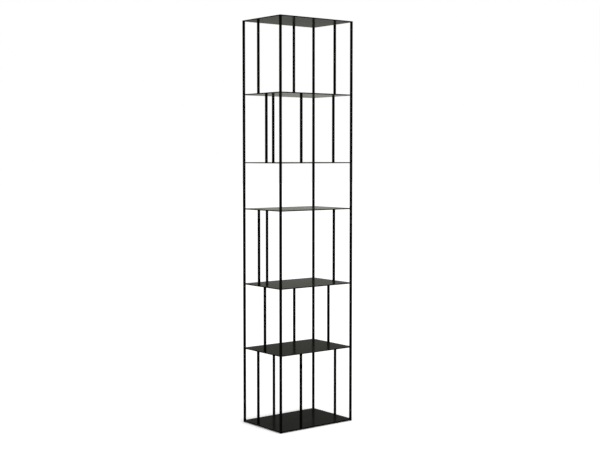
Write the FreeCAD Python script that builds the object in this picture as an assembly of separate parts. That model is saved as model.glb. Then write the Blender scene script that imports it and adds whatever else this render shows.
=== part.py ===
import FreeCAD, Part
import os

# Tall open shelving unit of blackened steel, for standing books and objects on.
# Seven thin sheets are welded between four square corner posts, and plain rods of
# the same bar stand on the sheets' edges, at other places in each bay.
# Lengths are in millimetres. X runs along the long front from left to right, Y from
# the front to the back, Z up. The origin is on the floor under the unit's middle.

# Sheets: laser-cut steel, all of one size, with their cut edges eased
sheet_width = 450.0
sheet_depth = 310.0
sheet_thickness = 5.0
sheet_edge_radius = 0.4

# Bar: one square section, drawn with soft corners, for the posts and the rods
bar_side = 10.0
bar_corner_radius = 0.6

# Whole height, from the floor to the upper face of the top sheet
unit_height = 2000.0

# Clear heights between neighbouring sheets, from the lowest bay upwards. The sixth
# and highest bay has what these leave of the whole height.
bay_1_height = 363.0
bay_2_height = 318.0
bay_3_height = 369.0
bay_4_height = 224.0
bay_5_height = 330.0

# The posts' lower ends, which reach below the bottom sheet and end in glides
post_stub_height = 3.0
glide_pad_height = 2.0
glide_pad_chamfer = 0.5
glide_stem_diameter = 4.0
glide_stem_length = 12.0
glide_stem_point = 0.8
glide_bore_clearance = 0.05
glide_bore_spare_depth = 2.0

# How far a cutting solid overruns the face that it enters by
cut_overrun = 1.0

# Where the rods stand: in each bay, from the lowest to the highest, the rod's centre
# as a share of its edge's length. It is counted from the front on the left and right
# edges, and from the left on the front and back edges. None is an edge left open, and
# the fourth bay, the lowest in height, has no rods at all.
left_rod_shares = [0.610, 0.428, 0.584, None, 0.382, 0.590]
back_rod_shares = [0.416, 0.708, 0.322, None, 0.411, 0.704]
front_rod_shares = [0.284, None, None, None, 0.288, None]
right_rod_shares = [0.409, 0.584, 0.446, None, 0.464, 0.432]

# Places that follow from the sizes above
half_width = sheet_width / 2
half_depth = sheet_depth / 2
half_bar = bar_side / 2
bar_line_x = half_width - half_bar
bar_line_y = half_depth - half_bar
post_foot_z = glide_pad_height
bottom_sheet_z = post_foot_z + post_stub_height
top_sheet_z = unit_height - sheet_thickness

sheet_levels = [bottom_sheet_z]
for clear_height in (bay_1_height, bay_2_height, bay_3_height, bay_4_height, bay_5_height):
    sheet_levels.append(sheet_levels[-1] + sheet_thickness + clear_height)
sheet_levels.append(top_sheet_z)

corner_signs = {
    "front_left": (-1, -1),
    "front_right": (1, -1),
    "back_right": (1, 1),
    "back_left": (-1, 1),
}

up = FreeCAD.Vector(0, 0, 1)


def closed_face(points):
    """A flat face inside straight lines from point to point and back to the first."""
    return Part.Face(Part.makePolygon(points + points[:1]))


def upright_edges(solid):
    """The solid's edges that run straight up."""
    return [edge for edge in solid.Edges
            if abs(edge.BoundBox.ZLength - edge.Length) < bar_corner_radius]


def square_bar(centre_x, centre_y, foot_z, length):
    """An upright length of the square bar, with its four long corners rounded."""
    corners = [
        FreeCAD.Vector(centre_x + side_x * half_bar, centre_y + side_y * half_bar, foot_z)
        for side_x, side_y in corner_signs.values()
    ]
    bar = closed_face(corners).extrude(up * length)
    return bar.makeFillet(bar_corner_radius, upright_edges(bar))


def cut_sheet_outline(level):
    """The outline of a sheet with a square notch for a post at each corner."""
    points = []
    for side_x, side_y in corner_signs.values():
        inner_x = side_x * (half_width - bar_side)
        inner_y = side_y * (half_depth - bar_side)
        notch = [
            FreeCAD.Vector(inner_x, side_y * half_depth, level),
            FreeCAD.Vector(inner_x, inner_y, level),
            FreeCAD.Vector(side_x * half_width, inner_y, level),
        ]
        if side_x == side_y:
            notch.reverse()
        points.extend(notch)
    return points


def whole_sheet_outline(level):
    """The outline of the sheet that has all its corners, and covers the posts."""
    return [FreeCAD.Vector(side_x * half_width, side_y * half_depth, level)
            for side_x, side_y in corner_signs.values()]


def rim_edges(sheet):
    """The sheet's upper and lower edges along its four outer sides."""
    rim = []
    for edge in sheet.Edges:
        box = edge.BoundBox
        on_side = (box.XMin > half_width - half_bar or box.XMax < half_bar - half_width
                   or box.YMin > half_depth - half_bar or box.YMax < half_bar - half_depth)
        if on_side and box.ZLength < sheet_thickness / 2:
            rim.append(edge)
    return rim


def shelf_sheet(level):
    """A notched sheet that fits between the posts, with its outer edges eased."""
    sheet = closed_face(cut_sheet_outline(level)).extrude(up * sheet_thickness)
    return sheet.makeFillet(sheet_edge_radius, rim_edges(sheet))


def cover_sheet(level):
    """The sheet on top of the posts, with its corners rounded as theirs are."""
    sheet = closed_face(whole_sheet_outline(level)).extrude(up * sheet_thickness)
    sheet = sheet.makeFillet(bar_corner_radius, upright_edges(sheet))
    return sheet.makeFillet(sheet_edge_radius, rim_edges(sheet))


def corner_post(centre_x, centre_y):
    """A full-height post, drilled at its foot for the stem of its glide."""
    post = square_bar(centre_x, centre_y, post_foot_z, top_sheet_z - post_foot_z)
    bore_radius = glide_stem_diameter / 2 + glide_bore_clearance
    bore_depth = glide_stem_length + glide_bore_spare_depth
    bore_mouth = FreeCAD.Vector(centre_x, centre_y, post_foot_z - cut_overrun)
    bore = Part.makeCylinder(bore_radius, bore_depth + cut_overrun, bore_mouth, up)
    return post.cut(bore)


def foot_glide(centre_x, centre_y):
    """A moulded glide: a pad as wide as the post, and a pointed stem in its bore."""
    pad = square_bar(centre_x, centre_y, 0, glide_pad_height)
    sole = [edge for edge in pad.Edges if edge.BoundBox.ZMax < glide_pad_height / 2]
    pad = pad.makeChamfer(glide_pad_chamfer, sole)
    stem_radius = glide_stem_diameter / 2
    tip_radius = stem_radius - glide_stem_point
    tip_z = glide_pad_height + glide_stem_length
    profile = closed_face([
        FreeCAD.Vector(centre_x, centre_y, glide_pad_height / 2),
        FreeCAD.Vector(centre_x + stem_radius, centre_y, glide_pad_height / 2),
        FreeCAD.Vector(centre_x + stem_radius, centre_y, tip_z - glide_stem_point),
        FreeCAD.Vector(centre_x + tip_radius, centre_y, tip_z),
        FreeCAD.Vector(centre_x, centre_y, tip_z),
    ])
    stem = profile.revolve(FreeCAD.Vector(centre_x, centre_y, 0), up, 360)
    return pad.fuse(stem).removeSplitter()


def rod_place(side, share):
    """The centre of a rod that stands on that edge, flush with its outer face."""
    along_x = share * sheet_width - half_width
    along_y = share * sheet_depth - half_depth
    if side == "left":
        return -bar_line_x, along_y
    if side == "right":
        return bar_line_x, along_y
    if side == "front":
        return along_x, -bar_line_y
    return along_x, bar_line_y


pieces = {}

for corner, (side_x, side_y) in corner_signs.items():
    post_x = side_x * bar_line_x
    post_y = side_y * bar_line_y
    pieces["post_" + corner] = corner_post(post_x, post_y)
    pieces["glide_" + corner] = foot_glide(post_x, post_y)

pieces["bottom_sheet"] = shelf_sheet(bottom_sheet_z)
for number, level in enumerate(sheet_levels[1:-1], start=1):
    pieces["shelf_%d" % number] = shelf_sheet(level)
pieces["top_sheet"] = cover_sheet(top_sheet_z)

edge_shares = {"left": left_rod_shares, "back": back_rod_shares,
               "front": front_rod_shares, "right": right_rod_shares}
for side, rod_shares in edge_shares.items():
    for bay, share in enumerate(rod_shares, start=1):
        if share is None:
            continue
        rod_x, rod_y = rod_place(side, share)
        rod_foot_z = sheet_levels[bay - 1] + sheet_thickness
        rod_length = sheet_levels[bay] - rod_foot_z
        pieces["rod_bay%d_%s" % (bay, side)] = square_bar(rod_x, rod_y, rod_foot_z, rod_length)

os.makedirs("parts", exist_ok=True)
for name, solid in pieces.items():
    solid.exportStep(os.path.join("parts", name + ".step"))
    print(name, "solids", len(solid.Solids), "valid", solid.isValid())
print("pieces", len(pieces), "height", top_sheet_z + sheet_thickness)
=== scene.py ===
import bpy
import math
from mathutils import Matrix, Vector


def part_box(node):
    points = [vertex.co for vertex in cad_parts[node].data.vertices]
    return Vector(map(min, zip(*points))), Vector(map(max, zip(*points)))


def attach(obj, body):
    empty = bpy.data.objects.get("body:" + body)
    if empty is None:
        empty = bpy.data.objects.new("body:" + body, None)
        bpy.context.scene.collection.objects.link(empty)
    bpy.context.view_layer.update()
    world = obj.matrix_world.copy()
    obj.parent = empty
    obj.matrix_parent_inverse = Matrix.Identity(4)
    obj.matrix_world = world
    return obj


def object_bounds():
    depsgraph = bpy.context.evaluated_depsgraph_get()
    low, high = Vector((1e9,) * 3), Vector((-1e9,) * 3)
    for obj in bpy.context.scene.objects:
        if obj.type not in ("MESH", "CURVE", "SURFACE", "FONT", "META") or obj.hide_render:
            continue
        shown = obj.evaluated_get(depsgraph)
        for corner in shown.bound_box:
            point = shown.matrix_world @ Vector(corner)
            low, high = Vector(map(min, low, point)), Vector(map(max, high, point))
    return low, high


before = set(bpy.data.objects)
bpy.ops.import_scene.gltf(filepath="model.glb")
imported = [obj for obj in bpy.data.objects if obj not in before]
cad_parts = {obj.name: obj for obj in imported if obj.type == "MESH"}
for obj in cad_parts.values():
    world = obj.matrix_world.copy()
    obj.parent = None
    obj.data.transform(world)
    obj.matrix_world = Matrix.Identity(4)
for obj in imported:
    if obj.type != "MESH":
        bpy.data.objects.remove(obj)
cad_low, cad_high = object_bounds()


# The seven sheets. Each is 5 mm steel plate, laser cut, with its edges eased, under a
# black powder coat that cured to a fine grain over a low orange peel. The upright cut
# edges are painted darker as shade, their corners are lighter as rubbed wear and as a
# painted highlight, and the coat is dusty on top.

def new_effect(name, inputs, output):
    """An empty shader node group with named number inputs and one number output."""
    group = bpy.data.node_groups.new(name, "ShaderNodeTree")
    for label, value in inputs.items():
        socket = group.interface.new_socket(label, in_out="INPUT", socket_type="NodeSocketFloat")
        socket.default_value = value
    group.interface.new_socket(output, in_out="OUTPUT", socket_type="NodeSocketFloat")
    given = group.nodes.new("NodeGroupInput").outputs
    made = group.nodes.new("NodeGroupOutput").inputs
    return group, given, made[output]


def add_math(tree, operation, first, second=None, third=None, clamp=False):
    """A Math node between sockets or plain numbers."""
    node = tree.nodes.new("ShaderNodeMath")
    node.operation = operation
    node.use_clamp = clamp
    for socket, value in zip(node.inputs, (first, second, third)):
        if isinstance(value, bpy.types.NodeSocket):
            tree.links.new(value, socket)
        elif value is not None:
            socket.default_value = value
    return node.outputs["Value"]


def add_noise(tree, per_metre, detail=2.0, roughness=0.5, stretch=(1.0, 1.0, 1.0)):
    """Noise over the piece's own coordinates, so that it lies still on the steel."""
    place = tree.nodes.new("ShaderNodeTexCoord")
    mapping = tree.nodes.new("ShaderNodeMapping")
    mapping.inputs["Scale"].default_value = stretch
    tree.links.new(place.outputs["Object"], mapping.inputs["Vector"])
    noise = tree.nodes.new("ShaderNodeTexNoise")
    noise.inputs["Detail"].default_value = detail
    noise.inputs["Roughness"].default_value = roughness
    tree.links.new(mapping.outputs["Vector"], noise.inputs["Vector"])
    tree.links.new(per_metre, noise.inputs["Scale"])
    return noise.outputs["Fac"]


def add_contrast(tree, value, contrast):
    """The value spread about its middle, and kept from 0 to 1."""
    from_middle = add_math(tree, "SUBTRACT", value, 0.5)
    return add_math(tree, "MULTIPLY_ADD", from_middle, contrast, 0.5, clamp=True)


def face_direction(tree):
    """The X, Y and Z of the way that the surface faces, on the piece itself."""
    face = tree.nodes.new("ShaderNodeTexCoord")
    parts = tree.nodes.new("ShaderNodeSeparateXYZ")
    tree.links.new(face.outputs["Normal"], parts.inputs["Vector"])
    return parts.outputs


def uprightness(tree):
    """1 where the surface stands upright, and 0 where it lies level."""
    level = add_math(tree, "ABSOLUTE", face_direction(tree)["Z"])
    return add_math(tree, "SUBTRACT", 1.0, level)


def make_orange_peel():
    """Height of the low dimples that the powder leaves as it melts together."""
    group, given, height = new_effect("orange_peel", {"Dimples per Metre": 420.0}, "Height")
    dimples = add_noise(group, given["Dimples per Metre"], detail=1.0)
    group.links.new(dimples, height)
    return group


def make_powder_grain():
    """Fine grains of powder, darker and lighter, from 0 to 1."""
    inputs = {"Grains per Metre": 2200.0, "Contrast": 5.0}
    group, given, grain = new_effect("powder_grain", inputs, "Grain")
    grains = add_noise(group, given["Grains per Metre"], detail=3.0, roughness=0.6)
    group.links.new(add_contrast(group, grains, given["Contrast"]), grain)
    return group


def make_coat_drift():
    """A slow change over a piece, from 0 to 1, where the coat lies thinner or thicker."""
    inputs = {"Patches per Metre": 9.0, "Contrast": 2.5}
    group, given, thickness = new_effect("coat_drift", inputs, "Thickness")
    patches = add_noise(group, given["Patches per Metre"], detail=4.0, roughness=0.55)
    group.links.new(add_contrast(group, patches, given["Contrast"]), thickness)
    return group


def make_painted_edge_shade():
    """1 on faces that stand upright, as a sheet's cut edges do, and 0 on level ones; it places the
    painted shade on the cut edges.
    """
    group, _, mask = new_effect("cut_edge", {}, "Cut")
    group.links.new(uprightness(group), mask)
    return group


def make_cut_lines():
    """Height of the fine upright lines that the laser leaves on a cut edge."""
    group, given, height = new_effect("cut_lines", {"Lines per Metre": 1800.0}, "Height")
    lines = add_noise(group, given["Lines per Metre"], detail=1.0, stretch=(1.0, 1.0, 0.06))
    group.links.new(add_math(group, "MULTIPLY", lines, uprightness(group)), height)
    return group


def make_edge_rub_and_highlight():
    """1 on rounded edges, broken up as wear is, and 0 on flat faces; it marks rubbed wear and a
    painted highlight.
    """
    inputs = {
        "Breaks per Metre": 70.0,
        "Break Contrast": 4.0,
        "Flat Face Power": 4.0,
        "Edge Gain": 2.0,
        "Amount": 1.0,
    }
    group, given, rub_and_highlight = new_effect("edge_rub", inputs, "Rub")
    facing = face_direction(group)
    flat_x, flat_y, flat_z = (
        add_math(group, "POWER", facing[axis], given["Flat Face Power"]) for axis in "XYZ"
    )
    flat = add_math(group, "ADD", add_math(group, "ADD", flat_x, flat_y), flat_z)
    off_flat = add_math(group, "SUBTRACT", 1.0, flat)
    edge = add_math(group, "MULTIPLY", off_flat, given["Edge Gain"], clamp=True)
    breaks = add_noise(group, given["Breaks per Metre"], detail=5.0, roughness=0.7)
    worn_and_highlit = add_math(group, "MULTIPLY", edge, add_contrast(group, breaks, given["Break Contrast"]))
    group.links.new(add_math(group, "MULTIPLY", worn_and_highlit, given["Amount"]), rub_and_highlight)
    return group


def make_settled_dust():
    """Dust in faint drifts and separate specks, on faces that look upwards."""
    inputs = {
        "Drifts per Metre": 11.0,
        "Drift Contrast": 3.0,
        "Drift Amount": 0.01,
        "Specks per Metre": 1500.0,
        "Speck Threshold": 0.76,
        "Speck Gain": 12.0,
        "Speck Amount": 0.25,
    }
    group, given, dust = new_effect("settled_dust", inputs, "Dust")
    upward = add_math(group, "MAXIMUM", face_direction(group)["Z"], 0.0)
    drift_noise = add_noise(group, given["Drifts per Metre"], detail=6.0, roughness=0.6)
    drifts = add_contrast(group, drift_noise, given["Drift Contrast"])
    film = add_math(group, "MULTIPLY", drifts, given["Drift Amount"])
    speck_noise = add_noise(group, given["Specks per Metre"], detail=0.0)
    peaks = add_math(group, "SUBTRACT", speck_noise, given["Speck Threshold"])
    specks = add_math(group, "MULTIPLY", peaks, given["Speck Gain"], clamp=True)
    cover = add_math(group, "MULTIPLY_ADD", specks, given["Speck Amount"], film)
    group.links.new(add_math(group, "MULTIPLY", cover, upward), dust)
    return group


orange_peel = make_orange_peel()
powder_grain = make_powder_grain()
coat_drift = make_coat_drift()
cut_edge = make_painted_edge_shade()
cut_lines = make_cut_lines()
edge_rub = make_edge_rub_and_highlight()
settled_dust = make_settled_dust()


def place_effect(tree, effect, **values):
    """An effect in a material, with its own values, such as Amount=0.5."""
    node = tree.nodes.new("ShaderNodeGroup")
    node.node_tree = effect
    for label, value in values.items():
        node.inputs[label.replace("_", " ")].default_value = value
    return node.outputs[0]


def add_blend(tree, mask, below, above):
    """A colour that goes from one to the other by a mask."""
    node = tree.nodes.new("ShaderNodeMix")
    node.data_type = "RGBA"
    tree.links.new(mask, node.inputs["Factor"])
    for socket, value in ((node.inputs["A"], below), (node.inputs["B"], above)):
        if isinstance(value, bpy.types.NodeSocket):
            tree.links.new(value, socket)
        else:
            socket.default_value = (*value, 1.0)
    return node.outputs["Result"]


def add_relief(tree, height, depth):
    """A Bump node that raises the surface by up to that depth, in metres."""
    bump = tree.nodes.new("ShaderNodeBump")
    bump.inputs["Distance"].default_value = depth
    tree.links.new(height, bump.inputs["Height"])
    return bump.outputs["Normal"]


# The coat mirrors hardly at all when it is seen head-on, and strongly at a grazing angle
coat_ior = 1.0160
coat_roughness = 0.135
coat_roughness_gain = 0.05
clear_skin_ior = 1.5
clear_skin_weight = 0.02
clear_skin_roughness = 0.35
grain_share_of_mottle = 0.6
grain_share_of_relief = 0.3
coat_relief_depth = 0.000015


def new_coat(name, deep_tone, light_tone):
    """A coated steel material, its tree and shader, and the mottled colour of its face."""
    coat = bpy.data.materials.new(name)
    coat.use_nodes = True
    tree = coat.node_tree
    steel = tree.nodes["Principled BSDF"]
    steel.inputs["IOR"].default_value = coat_ior
    steel.inputs["Coat Weight"].default_value = clear_skin_weight
    steel.inputs["Coat Roughness"].default_value = clear_skin_roughness
    steel.inputs["Coat IOR"].default_value = clear_skin_ior
    drift = place_effect(tree, coat_drift)
    grain = place_effect(tree, powder_grain)
    grain_over_drift = add_math(tree, "SUBTRACT", grain, drift)
    mottle = add_math(tree, "MULTIPLY_ADD", grain_over_drift, grain_share_of_mottle, drift)
    face = add_blend(tree, mottle, deep_tone, light_tone)
    roughness = add_math(tree, "MULTIPLY_ADD", drift, coat_roughness_gain, coat_roughness)
    tree.links.new(roughness, steel.inputs["Roughness"])
    return coat, tree, steel, face


def coat_relief(tree):
    """Height of the coat's surface: orange peel with a little of the grain on it."""
    grain = place_effect(tree, powder_grain)
    peel = place_effect(tree, orange_peel)
    return add_math(tree, "MULTIPLY_ADD", grain, grain_share_of_relief, peel)


sheet_deep_tone = (0.0058, 0.0059, 0.0055)
sheet_light_tone = (0.0184, 0.0188, 0.0175)
sheet_sheen_weight = 0.03
sheet_sheen_roughness = 0.13
sheet_sheen_tint = (1.0, 1.0, 0.8, 1.0)
# painted shade: the upright cut edges are coloured darker than the sheet faces
painted_edge_shade_tone = (0.0018, 0.0018, 0.0017)
cut_line_share_of_relief = 1.5
# the lighter tone on the sheets' corners is rubbed wear and a painted highlight
sheet_rub_and_highlight_amount = 0.55
sheet_rub_and_highlight_tone = (0.060, 0.058, 0.054)
dust_tone = (0.22, 0.21, 0.19)


def sheet_finish():
    """The sheets' coat, with painted shade on the upright cut edges, corners lighter as wear and
    painted highlight, and dust on the upper faces.
    """
    coat, tree, steel, face = new_coat("black_coat_on_sheet", sheet_deep_tone, sheet_light_tone)
    steel.inputs["Sheen Weight"].default_value = sheet_sheen_weight
    steel.inputs["Sheen Roughness"].default_value = sheet_sheen_roughness
    steel.inputs["Sheen Tint"].default_value = sheet_sheen_tint
    # painted shade on the upright cut edges
    edge_shaded = add_blend(tree, place_effect(tree, cut_edge), face, painted_edge_shade_tone)
    # rubbed wear and painted highlight on the rounded corners
    rub_and_highlight = place_effect(tree, edge_rub, Amount=sheet_rub_and_highlight_amount)
    rubbed_and_highlit = add_blend(tree, rub_and_highlight, edge_shaded, sheet_rub_and_highlight_tone)
    dusty = add_blend(tree, place_effect(tree, settled_dust), rubbed_and_highlit, dust_tone)
    tree.links.new(dusty, steel.inputs["Base Color"])
    lines = place_effect(tree, cut_lines)
    height = add_math(tree, "MULTIPLY_ADD", lines, cut_line_share_of_relief, coat_relief(tree))
    tree.links.new(add_relief(tree, height, coat_relief_depth), steel.inputs["Normal"])
    return coat


def give_finish(node_name, finish):
    """The finish for a piece that keeps its CAD shape."""
    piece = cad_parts[node_name]
    for place in piece.material_slots:
        place.material = finish


sheet_coat = sheet_finish()
sheet_names = [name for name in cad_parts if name.endswith("sheet") or "shelf" in name]
for name in sheet_names:
    give_finish(name, sheet_coat)


# The posts and rods. They are one 10 mm square steel bar with soft corners, sawn to
# length and coated with the sheets after welding. Their coat is painted far blacker than
# the sheets' as shade. Standing upright they hold no dust, and their long corners are
# rubbed a little by hands and books, and painted lighter there as a highlight.

# painted shade: the bars get a far blacker copy of the sheets' coat
bar_shaded_deep_tone = (0.0006, 0.0006, 0.0006)
bar_shaded_light_tone = (0.0026, 0.0026, 0.0025)
# the lighter tone on the bars' corners is rubbed wear and a painted highlight
bar_rub_and_highlight_amount = 0.45
bar_rub_and_highlight_tone = (0.040, 0.039, 0.036)


def bar_finish():
    """The bars' coat, painted far blacker than the sheets' as shade, with its long corners rubbed
    and painted lighter as a highlight.
    """
    coat, tree, steel, face = new_coat("black_coat_on_bar", bar_shaded_deep_tone, bar_shaded_light_tone)
    # rubbed wear and painted highlight on the bars' long corners
    rub_and_highlight = place_effect(tree, edge_rub, Amount=bar_rub_and_highlight_amount)
    tree.links.new(add_blend(tree, rub_and_highlight, face, bar_rub_and_highlight_tone), steel.inputs["Base Color"])
    relief = add_relief(tree, coat_relief(tree), coat_relief_depth)
    tree.links.new(relief, steel.inputs["Normal"])
    return coat


bar_coat = bar_finish()
post_names = [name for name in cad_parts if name.startswith("post")]
rod_names = [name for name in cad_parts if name.startswith("rod")]
for name in post_names + rod_names:
    give_finish(name, bar_coat)


# The welds. Every bar is tack-welded where it meets a sheet, by short seams on its
# inner sides only. The outer faces are ground flush before the unit is coated.

seam_radius = 0.0010
seam_least_radius = 0.00005
seam_sides = 10
ripple_pitch = 0.0012
ripple_depth = 0.30
ring_spacing = 0.00030
flush_margin = 0.0013


def corner_seam(post_name, level):
    """The line round a post's two inner sides, where it meets the sheet above."""
    low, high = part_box(post_name)
    side_x = math.copysign(1, low.x + high.x)
    side_y = math.copysign(1, low.y + high.y)
    inner_x = low.x if side_x > 0 else high.x
    inner_y = low.y if side_y > 0 else high.y
    outer_x = inner_x + side_x * (high.x - low.x - flush_margin)
    outer_y = inner_y + side_y * (high.y - low.y - flush_margin)
    return [(outer_x, inner_y, level), (inner_x, inner_y, level), (inner_x, outer_y, level)]


def rod_seam(rod_name, level):
    """The line round a rod's three inner sides, where its end stands on a sheet."""
    low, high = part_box(rod_name)
    if rod_name.endswith(("left", "right")):
        side = math.copysign(1, low.x + high.x)
        inner = low.x if side > 0 else high.x
        outer = inner + side * (high.x - low.x - flush_margin)
        return [(outer, low.y, level), (inner, low.y, level),
                (inner, high.y, level), (outer, high.y, level)]
    side = math.copysign(1, low.y + high.y)
    inner = low.y if side > 0 else high.y
    outer = inner + side * (high.y - low.y - flush_margin)
    return [(low.x, outer, level), (low.x, inner, level),
            (high.x, inner, level), (high.x, outer, level)]


seams = []
for post_name in post_names:
    for sheet_name in sheet_names:
        sheet_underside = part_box(sheet_name)[0].z
        seams.append(corner_seam(post_name, sheet_underside))
for rod_name in rod_names:
    foot, head = (corner.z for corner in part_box(rod_name))
    seams.append(rod_seam(rod_name, foot))
    seams.append(rod_seam(rod_name, head))


def seam_lines():
    """All the seams as bare lines in one mesh."""
    points, lines = [], []
    for seam in seams:
        first = len(points)
        points.extend(seam)
        lines.extend((first + step, first + step + 1) for step in range(len(seam) - 1))
    mesh = bpy.data.meshes.new("seam_lines")
    mesh.from_pydata(points, lines, [])
    return mesh


def weld_tree(finish):
    """Turns lines into round beads with ripples across them and domed ends."""
    tree = bpy.data.node_groups.new("weld_seams", "GeometryNodeTree")
    sockets = tree.interface
    sockets.new_socket("Geometry", in_out="INPUT", socket_type="NodeSocketGeometry")
    for label in ("Seam Radius", "Least Radius", "Ripple Pitch", "Ripple Depth", "Ring Spacing"):
        sockets.new_socket(label, in_out="INPUT", socket_type="NodeSocketFloat")
    sockets.new_socket("Sides", in_out="INPUT", socket_type="NodeSocketInt")
    sockets.new_socket("Geometry", in_out="OUTPUT", socket_type="NodeSocketGeometry")
    given = tree.nodes.new("NodeGroupInput").outputs
    made = tree.nodes.new("NodeGroupOutput").inputs

    path = tree.nodes.new("GeometryNodeMeshToCurve")
    tree.links.new(given["Geometry"], path.inputs["Mesh"])
    rings = tree.nodes.new("GeometryNodeResampleCurve")
    rings.mode = "LENGTH"
    tree.links.new(path.outputs["Curve"], rings.inputs["Curve"])
    tree.links.new(given["Ring Spacing"], rings.inputs["Length"])

    # Ripples: arches with narrow valleys between them, along the whole seam
    along = tree.nodes.new("GeometryNodeSplineParameter").outputs["Length"]
    half_pitch = add_math(tree, "DIVIDE", given["Ripple Pitch"], 2.0)
    wave = add_math(tree, "PINGPONG", along, half_pitch)
    arch = add_math(tree, "DIVIDE", wave, given["Ripple Pitch"])
    valley = add_math(tree, "SQRT", add_math(tree, "MULTIPLY", arch, 2.0))
    low_share = add_math(tree, "SUBTRACT", 1.0, given["Ripple Depth"])
    ripple = add_math(tree, "MULTIPLY_ADD", valley, given["Ripple Depth"], low_share)

    # Domes: a quarter circle over the last radius at each end
    whole = tree.nodes.new("GeometryNodeSplineLength").outputs["Length"]
    to_far_end = add_math(tree, "SUBTRACT", whole, along)
    to_end = add_math(tree, "MINIMUM", along, to_far_end)
    rise = add_math(tree, "DIVIDE", to_end, given["Seam Radius"], clamp=True)
    fall = add_math(tree, "SUBTRACT", 2.0, rise)
    dome = add_math(tree, "SQRT", add_math(tree, "MULTIPLY", rise, fall))
    share = add_math(tree, "MULTIPLY", ripple, dome)
    shape = add_math(tree, "MULTIPLY", share, given["Seam Radius"])
    thickness = add_math(tree, "MAXIMUM", shape, given["Least Radius"])

    section = tree.nodes.new("GeometryNodeCurvePrimitiveCircle")
    section.inputs["Radius"].default_value = 1.0
    tree.links.new(given["Sides"], section.inputs["Resolution"])
    bead = tree.nodes.new("GeometryNodeCurveToMesh")
    bead.inputs["Fill Caps"].default_value = True
    tree.links.new(rings.outputs["Curve"], bead.inputs["Curve"])
    tree.links.new(section.outputs["Curve"], bead.inputs["Profile Curve"])
    tree.links.new(thickness, bead.inputs["Scale"])

    smooth = tree.nodes.new("GeometryNodeSetShadeSmooth")
    solid = tree.nodes.new("GeometryNodeRealizeInstances")
    painted = tree.nodes.new("GeometryNodeSetMaterial")
    painted.inputs["Material"].default_value = finish
    tree.links.new(bead.outputs["Mesh"], smooth.inputs["Geometry"])
    tree.links.new(smooth.outputs["Geometry"], solid.inputs["Geometry"])
    tree.links.new(solid.outputs["Geometry"], painted.inputs["Geometry"])
    tree.links.new(painted.outputs["Geometry"], made["Geometry"])
    return tree


def grow(name, start_mesh, tree, **values):
    """The plain mesh that a tree makes of a starting mesh, as a piece of its own."""
    piece = bpy.data.objects.new(name, start_mesh)
    bpy.context.scene.collection.objects.link(piece)
    modifier = piece.modifiers.new(name, "NODES")
    modifier.node_group = tree
    for item in tree.interface.items_tree:
        value_name = item.name.replace(" ", "_")
        if item.in_out == "INPUT" and value_name in values:
            modifier[item.identifier] = values[value_name]
    graph = bpy.context.evaluated_depsgraph_get()
    grown = bpy.data.meshes.new_from_object(piece.evaluated_get(graph), depsgraph=graph)
    piece.modifiers.remove(modifier)
    piece.data = grown
    return piece


# the beads take the bars' coat, with its painted shade
weld_seams = grow(
    "weld_seams", seam_lines(), weld_tree(bar_coat),
    Seam_Radius=seam_radius, Least_Radius=seam_least_radius, Sides=seam_sides,
    Ripple_Pitch=ripple_pitch, Ripple_Depth=ripple_depth, Ring_Spacing=ring_spacing,
)
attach(weld_seams, "root")


# The glides. Each is one moulding in black nylon, pressed into the drilled foot of a
# post. The mould's fine spark texture shows on the pad, which scuffs grey underneath.

nylon_ior = 1.53
nylon_specular = 0.15
nylon_roughness = 0.5
nylon_roughness_gain = 0.1
nylon_deep_tone = (0.008, 0.008, 0.008)
nylon_light_tone = (0.016, 0.016, 0.016)
nylon_grains_per_metre = 2500.0
scuff_tone = (0.06, 0.06, 0.06)
scuff_amount = 0.6
scuff_breaks_per_metre = 400.0
spark_dimples_per_metre = 4000.0
spark_depth = 0.00002


def nylon():
    """Moulded black nylon with a fine spark texture."""
    plastic = bpy.data.materials.new("black_nylon")
    plastic.use_nodes = True
    tree = plastic.node_tree
    skin = tree.nodes["Principled BSDF"]
    skin.inputs["IOR"].default_value = nylon_ior
    skin.inputs["Specular IOR Level"].default_value = nylon_specular
    mottle = place_effect(tree, powder_grain, Grains_per_Metre=nylon_grains_per_metre)
    body = add_blend(tree, mottle, nylon_deep_tone, nylon_light_tone)
    scuffs = place_effect(
        tree, edge_rub, Breaks_per_Metre=scuff_breaks_per_metre, Amount=scuff_amount
    )
    tree.links.new(add_blend(tree, scuffs, body, scuff_tone), skin.inputs["Base Color"])
    roughness = add_math(tree, "MULTIPLY_ADD", mottle, nylon_roughness_gain, nylon_roughness)
    tree.links.new(roughness, skin.inputs["Roughness"])
    spark = place_effect(tree, orange_peel, Dimples_per_Metre=spark_dimples_per_metre)
    tree.links.new(add_relief(tree, spark, spark_depth), skin.inputs["Normal"])
    return plastic


glide_nylon = nylon()
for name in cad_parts:
    if name.startswith("glide"):
        give_finish(name, glide_nylon)


# The floor that the unit stands on. It is plain and pale, bounces light as matt white
# paint does, and keeps the unit's shadow. To the camera it is a clean white, and in the
# steel it shows as the slightly warm white that studio paper is.

floor_half_width = 40.0
floor_roughness = 0.9


def white_by_sight(tree, bounced, reflected, direct):
    """A white with one tone for its light, one in gloss or glass, and one for the camera."""
    path = tree.nodes.new("ShaderNodeLightPath").outputs
    in_gloss = add_math(tree, "ADD", path["Is Glossy Ray"], path["Is Transmission Ray"], clamp=True)
    unseen = add_blend(tree, in_gloss, bounced, reflected)
    return add_blend(tree, path["Is Camera Ray"], unseen, direct)


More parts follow.
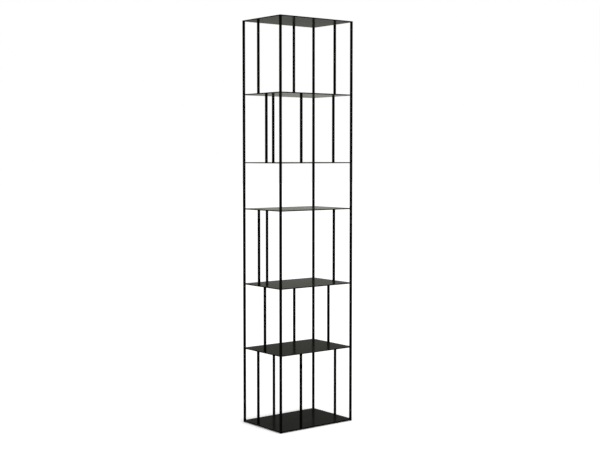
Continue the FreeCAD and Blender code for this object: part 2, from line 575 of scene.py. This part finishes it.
floor_paint = bpy.data.materials.new("pale_floor")
floor_paint.use_nodes = True
floor_tree = floor_paint.node_tree
floor_shader = floor_tree.nodes["Principled BSDF"]
floor_shader.inputs["Roughness"].default_value = floor_roughness
floor_shader.inputs["Specular IOR Level"].default_value = 0.0
floor_white = white_by_sight(
    floor_tree,
    bounced=(0.80, 0.80, 0.80),
    reflected=(1.02, 1.02, 0.92),
    direct=(1.10, 1.10, 1.10),
)
floor_tree.links.new(floor_white, floor_shader.inputs["Base Color"])

floor_mesh = bpy.data.meshes.new("floor")
floor_corners = [
    (x * floor_half_width, y * floor_half_width, 0.0)
    for x, y in ((-1, -1), (1, -1), (1, 1), (-1, 1))
]
floor_mesh.from_pydata(floor_corners, [], [(0, 1, 2, 3)])
floor_mesh.materials.append(floor_paint)
floor = bpy.data.objects.new("floor", floor_mesh)
bpy.context.scene.collection.objects.link(floor)


# The studio. A white surround lights the unit from all sides at a plain level. Two
# softboxes stand to its left and right, and a far lamp almost straight above it throws
# its shadow close under it.

surround = bpy.data.worlds.new("white_surround")
surround.use_nodes = True
surround_tree = surround.node_tree
surround_white = white_by_sight(
    surround_tree,
    bounced=(0.60, 0.60, 0.60),
    reflected=(1.0, 1.0, 0.90),
    direct=(1.0, 1.0, 1.0),
)
surround_tree.links.new(surround_white, surround_tree.nodes["Background"].inputs["Color"])
bpy.context.scene.world = surround

unit_middle = (cad_low + cad_high) / 2
softbox_width = 0.9
softbox_height = 2.4


def softbox(name, place, power):
    """A softbox at a place, turned towards the unit's middle and unseen by the camera."""
    light = bpy.data.lights.new(name, "AREA")
    light.shape = "RECTANGLE"
    light.size = softbox_width
    light.size_y = softbox_height
    light.energy = power
    lamp = bpy.data.objects.new(name, light)
    lamp.location = place
    lamp.rotation_euler = (unit_middle - Vector(place)).to_track_quat("-Z", "Y").to_euler()
    lamp.visible_camera = False
    bpy.context.scene.collection.objects.link(lamp)


softbox("left_softbox", place=(-3.6, -0.6, 1.9), power=12.0)
softbox("right_softbox", place=(2.6, -3.2, 1.7), power=9.0)

overhead_share_of_white = 0.44
overhead_spread = math.radians(3.0)
beam_slant_to_back = math.radians(1.2)
beam_slant_to_right = math.radians(0.3)

overhead = bpy.data.lights.new("overhead_lamp", "SUN")
overhead.angle = overhead_spread
overhead.energy = overhead_share_of_white * math.pi
overhead_lamp = bpy.data.objects.new("overhead_lamp", overhead)
overhead_lamp.rotation_euler = (beam_slant_to_back, -beam_slant_to_right, 0.0)
bpy.context.scene.collection.objects.link(overhead_lamp)

bpy.context.scene.view_settings.view_transform = "Standard"


# The camera. It stands at the front left, a little above the unit's middle, and looks
# slightly down through a long lens. Lengths are in metres, the lens is in millimetres.

camera_distance = 5.6355
camera_height = 1.334
camera_azimuth = math.radians(37.867)
camera_heading = math.radians(37.981)
camera_tilt = math.radians(-3.482)
camera_lens = 67.92

lens = bpy.data.cameras.new("camera")
lens.lens = camera_lens
camera = bpy.data.objects.new("camera", lens)
camera.location = (
    -camera_distance * math.sin(camera_azimuth),
    -camera_distance * math.cos(camera_azimuth),
    camera_height,
)
level_sight = math.radians(90.0)  # an unturned camera looks straight down
camera.rotation_euler = (level_sight + camera_tilt, 0.0, -camera_heading)
bpy.context.scene.collection.objects.link(camera)
bpy.context.scene.camera = camera
